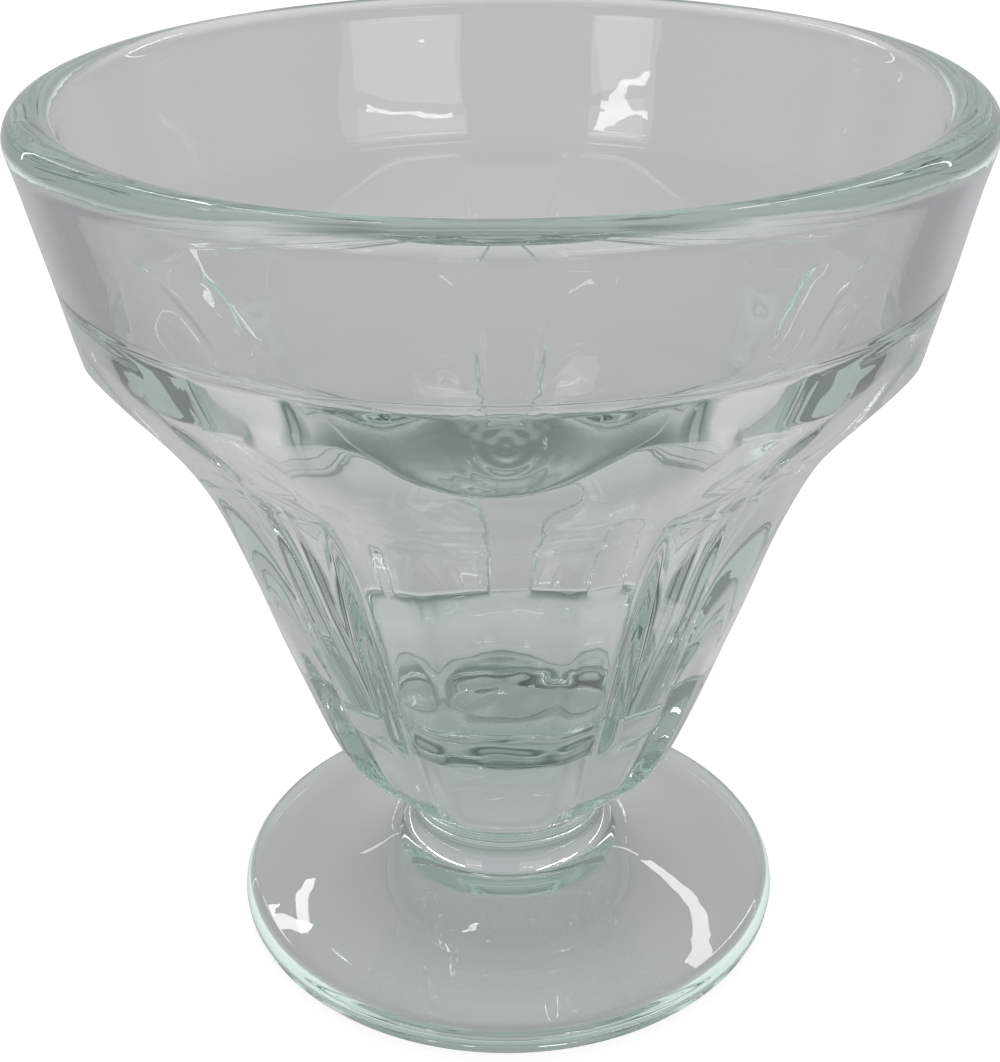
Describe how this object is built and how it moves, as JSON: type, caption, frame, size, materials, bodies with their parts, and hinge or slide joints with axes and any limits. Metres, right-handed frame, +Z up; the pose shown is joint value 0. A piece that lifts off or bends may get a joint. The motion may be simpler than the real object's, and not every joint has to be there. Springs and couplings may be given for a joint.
{
  "type": "sherbet glass",
  "caption": "Footed pressed glass dessert cup: flared bowl with crowned petals and flat ribs under a plain band with a wavy hem, short neck and round foot.",
  "frame": {"origin": "middle of the plane that the foot rests on", "axes": "+Z up along the glass's axis, one petal faces -Y"},
  "size_m": [0.0888, 0.0888, 0.09],
  "materials": {
    "clear_glass": "clear, slightly grey-green, fire-polished"
  },
  "bodies": {
    "root": {"sherbet_glass": "clear_glass"}
  },
  "joints": []
}
